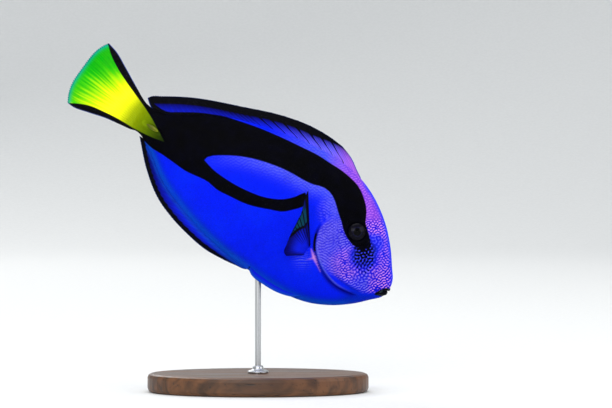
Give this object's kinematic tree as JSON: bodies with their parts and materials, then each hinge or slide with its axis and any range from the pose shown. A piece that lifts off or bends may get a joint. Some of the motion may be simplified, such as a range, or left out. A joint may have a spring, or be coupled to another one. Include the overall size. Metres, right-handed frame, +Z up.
{
  "type": "regal blue tang fish model on a display stand",
  "caption": "Life-size oval reef fish tilted nose down, with upright back fin, fan tail and spread side fins, held by a steel rod on an oval wooden base.",
  "frame": {"origin": "centre of the stand base's underside, on the floor below the rod", "axes": "+Z up, +X towards the fish's head, +Y towards the fish's left side; the picture's camera looks along +Y at the fish's right side"},
  "size_m": [0.1747, 0.076, 0.1865],
  "materials": {
    "blue_skin": "finely scaled skin, cobalt blue with a black band along the upper side, satin and moist",
    "black_edged_fin": "blue fin membrane over fine rays, with a black margin and a thin pale edge",
    "yellow_tail_fin": "yellow fin membrane over fine rays, greenish at the rear edge, black upper and lower edges",
    "dark_eye": "dark iris and black pupil under a clear glossy surface",
    "spine_sheath": "horn-like folded spine, pale yellow, satin",
    "oiled_walnut": "dark walnut, oiled to a low sheen",
    "brushed_steel": "stainless steel rod, fine brushed"
  },
  "bodies": {
    "root": {"head": "blue_skin", "lower_jaw": "blue_skin", "gill_cover_right": "blue_skin", "gill_cover_left": "blue_skin", "trunk": "blue_skin", "tail_stalk": "blue_skin", "eye_right": "dark_eye", "eye_left": "dark_eye", "tail_spine_right": "spine_sheath", "tail_spine_left": "spine_sheath", "dorsal_fin": "black_edged_fin", "anal_fin": "black_edged_fin", "pectoral_fin_right": "black_edged_fin", "pectoral_fin_left": "black_edged_fin", "pelvic_fin_right": "black_edged_fin", "pelvic_fin_left": "black_edged_fin", "caudal_fin": "yellow_tail_fin", "stand_base": "oiled_walnut", "stand_rod": "brushed_steel"}
  },
  "joints": []
}
